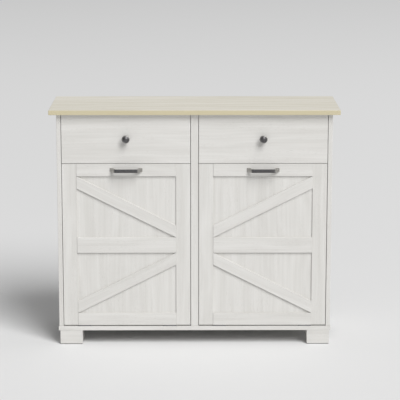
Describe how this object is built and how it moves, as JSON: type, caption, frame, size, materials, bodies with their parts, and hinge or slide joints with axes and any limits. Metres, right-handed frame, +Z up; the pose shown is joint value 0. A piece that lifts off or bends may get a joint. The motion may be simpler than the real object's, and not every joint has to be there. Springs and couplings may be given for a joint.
{
  "type": "sideboard buffet",
  "caption": "Sideboard with drawers over tilt-out doors, oak top, whitewashed woodgrain, braced door faces and block feet.",
  "frame": {"origin": "on the floor, at the middle of the overall width and depth", "axes": "+X to the right seen from the front, +Y from the front to the back, +Z up"},
  "size_m": [1, 0.361, 0.832],
  "materials": {
    "oak_top": "matt pale oak woodgrain",
    "white_woodgrain": "matt whitewashed woodgrain",
    "inner_board": "matt white board",
    "back_board": "matt white hardboard",
    "plain_wood": "bare beech",
    "pewter_metal": "dark pewter, satin",
    "zinc_steel": "zinc plated",
    "white_plastic": "matt moulded"
  },
  "bodies": {
    "cabinet": {"back_panel": "back_board", "base_board": "white_woodgrain", "base_screws": "zinc_steel", "cabinet_runners": "zinc_steel", "cam_bolts": "zinc_steel", "cam_locks": "zinc_steel", "carcass_dowels": "plain_wood", "centre_partition": "white_woodgrain", "centre_stile": "white_woodgrain", "cross_rail_left": "inner_board", "cross_rail_right": "inner_board", "fitting_screws": "zinc_steel", "foot_front_left": "white_woodgrain", "foot_front_right": "white_woodgrain", "foot_rear_left": "white_woodgrain", "foot_rear_right": "white_woodgrain", "hinge_fixed_leaves": "zinc_steel", "hinge_pins": "zinc_steel", "magnet_catches": "white_plastic", "side_panel_left": "white_woodgrain", "side_panel_right": "white_woodgrain", "top_board": "oak_top"},
    "drawer_left": {"drawer_left_back": "inner_board", "drawer_left_bottom": "back_board", "drawer_left_fasteners": "zinc_steel", "drawer_left_front": "white_woodgrain", "drawer_left_knob": "pewter_metal", "drawer_left_runners": "zinc_steel", "drawer_left_sides": "inner_board"},
    "drawer_right": {"drawer_right_back": "inner_board", "drawer_right_bottom": "back_board", "drawer_right_fasteners": "zinc_steel", "drawer_right_front": "white_woodgrain", "drawer_right_knob": "pewter_metal", "drawer_right_runners": "zinc_steel", "drawer_right_sides": "inner_board"},
    "door_left": {"door_left_braces": "white_woodgrain", "door_left_cradle_back": "inner_board", "door_left_cradle_shelf": "inner_board", "door_left_cradle_sides": "inner_board", "door_left_end_rails": "white_woodgrain", "door_left_fasteners": "zinc_steel", "door_left_handle": "pewter_metal", "door_left_hinge_leaves": "zinc_steel", "door_left_mid_rail": "white_woodgrain", "door_left_panel": "white_woodgrain", "door_left_stiles": "white_woodgrain", "door_left_strike_plate": "zinc_steel"},
    "door_right": {"door_right_braces": "white_woodgrain", "door_right_cradle_back": "inner_board", "door_right_cradle_shelf": "inner_board", "door_right_cradle_sides": "inner_board", "door_right_end_rails": "white_woodgrain", "door_right_fasteners": "zinc_steel", "door_right_handle": "pewter_metal", "door_right_hinge_leaves": "zinc_steel", "door_right_mid_rail": "white_woodgrain", "door_right_panel": "white_woodgrain", "door_right_stiles": "white_woodgrain", "door_right_strike_plate": "zinc_steel"}
  },
  "joints": [
    {"name": "drawer_left_slide", "type": "slide", "parent": "cabinet", "child": "drawer_left", "axis": [0, -1, 0], "range_m": [0, 0.2]},
    {"name": "drawer_right_slide", "type": "slide", "parent": "cabinet", "child": "drawer_right", "axis": [0, -1, 0], "range_m": [0, 0.2]},
    {"name": "door_left_tilt", "type": "hinge", "parent": "cabinet", "child": "door_left", "pos_m": [0, -0.1545, 0.06675], "axis": [1, 0, 0], "range_deg": [0, 29.9]},
    {"name": "door_right_tilt", "type": "hinge", "parent": "cabinet", "child": "door_right", "pos_m": [0, -0.1545, 0.06675], "axis": [1, 0, 0], "range_deg": [0, 29.9]}
  ]
}
